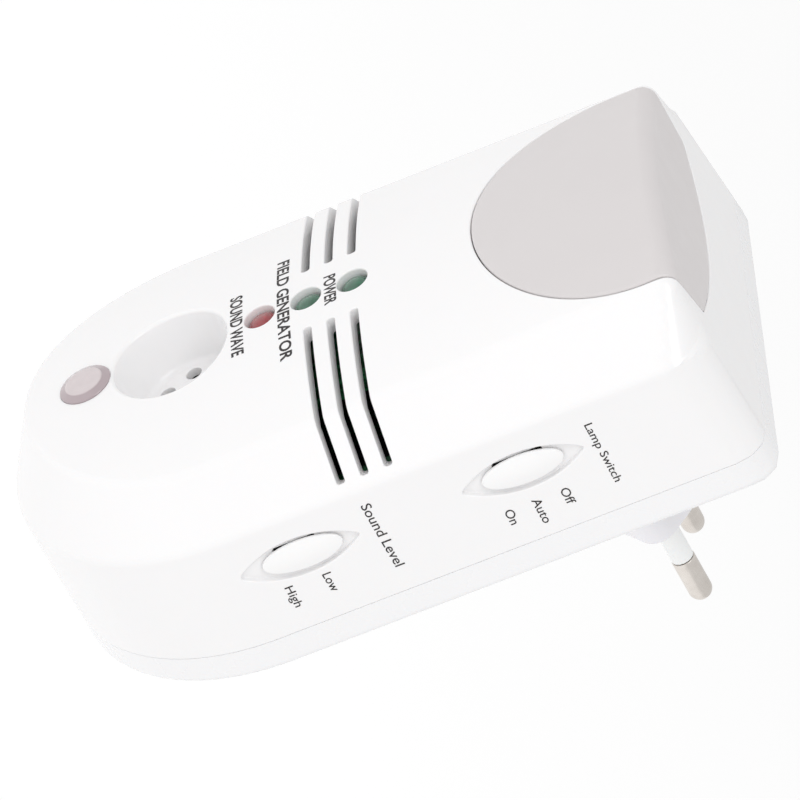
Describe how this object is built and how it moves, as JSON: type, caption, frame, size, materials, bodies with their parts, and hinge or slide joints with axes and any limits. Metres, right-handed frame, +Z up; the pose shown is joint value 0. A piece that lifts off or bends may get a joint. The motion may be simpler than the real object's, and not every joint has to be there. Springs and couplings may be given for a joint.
{
  "type": "ultrasonic pest repeller",
  "caption": "Plug-in pest repeller: a white wedge-fronted housing with a sound horn, status lights, vent slots, side slide switches, a frosted night-light window and a round-pin mains plug.",
  "frame": {"origin": "middle of the plug's flat end face, midway between the two pins", "axes": "+Z up the wall, towards the night light; +Y out of the back, the way the pins point; +X towards the side with the slide switches"},
  "size_m": [0.073, 0.0766, 0.1193],
  "materials": {
    "housing_plastic": "polished white ABS",
    "cover_plastic": "polished white ABS",
    "frosted_plastic": "frosted translucent polycarbonate",
    "sensor_plastic": "smooth translucent pinkish grey",
    "plug_plastic": "smooth white, satin",
    "sleeve_plastic": "smooth off-white nylon",
    "knob_plastic": "polished white ABS",
    "nickel": "nickel-plated brass, fine turning marks",
    "steel": "zinc-plated steel",
    "brass": "stamped strip",
    "copper": "enamelled copper wire",
    "led_green": "clear tinted epoxy, unlit",
    "led_red": "clear tinted epoxy, unlit",
    "clear_plastic": "clear epoxy",
    "circuit_board": "green solder mask",
    "iron_core": "varnished laminations or ferrite",
    "yellow_plastic": "taped or dipped",
    "aluminium_case": "drawn can, satin",
    "rubber": "foam ring",
    "black_plastic": "moulded"
  },
  "bodies": {
    "housing": {"front_housing": "housing_plastic", "rear_cover": "cover_plastic", "night_light_lens": "frosted_plastic", "sensor_window": "sensor_plastic", "plug_base": "plug_plastic", "plug_pin_left": "nickel", "pin_sleeve_left": "sleeve_plastic", "contact_strip_left": "brass", "plug_screw_left": "steel", "plug_pin_right": "nickel", "pin_sleeve_right": "sleeve_plastic", "contact_strip_right": "brass", "plug_screw_right": "steel", "housing_screw_1": "steel", "housing_screw_2": "steel", "housing_screw_3": "steel", "housing_screw_4": "steel", "ion_led": "led_green", "field_led": "led_green", "sound_led": "led_red", "led_board": "circuit_board", "lamp_board": "circuit_board", "lamp_led_1": "clear_plastic", "lamp_led_2": "clear_plastic", "lamp_led_3": "clear_plastic", "pet_switch_body": "black_plastic", "light_switch_body": "black_plastic", "switch_board": "circuit_board", "main_board": "circuit_board", "board_screw_1": "steel", "board_screw_2": "steel", "transformer_core": "iron_core", "transformer_coil": "yellow_plastic", "field_coil_core": "iron_core", "field_coil_bobbin": "black_plastic", "field_coil_winding": "copper", "ioniser_module": "black_plastic", "ioniser_needle": "steel", "smoothing_capacitor_1": "black_plastic", "smoothing_capacitor_2": "black_plastic", "film_capacitor": "yellow_plastic", "fuse": "clear_plastic", "bridge_rectifier": "black_plastic", "control_chip": "black_plastic", "driver_chip": "black_plastic", "led_board_link": "black_plastic", "lamp_board_link": "black_plastic", "transducer": "aluminium_case", "transducer_gasket": "rubber", "sensor_board": "circuit_board", "photocell": "clear_plastic"},
    "pet_knob": {"pet_switch_knob": "knob_plastic", "pet_switch_slider": "black_plastic"},
    "light_knob": {"light_switch_knob": "knob_plastic", "light_switch_slider": "black_plastic"}
  },
  "joints": [
    {"name": "pet_switch", "type": "slide", "parent": "housing", "child": "pet_knob", "axis": [0, 0, 1], "range_m": [-0.002, 0]},
    {"name": "light_switch", "type": "slide", "parent": "housing", "child": "light_knob", "axis": [0, 0, 1], "range_m": [-0.002, 0.002]}
  ]
}
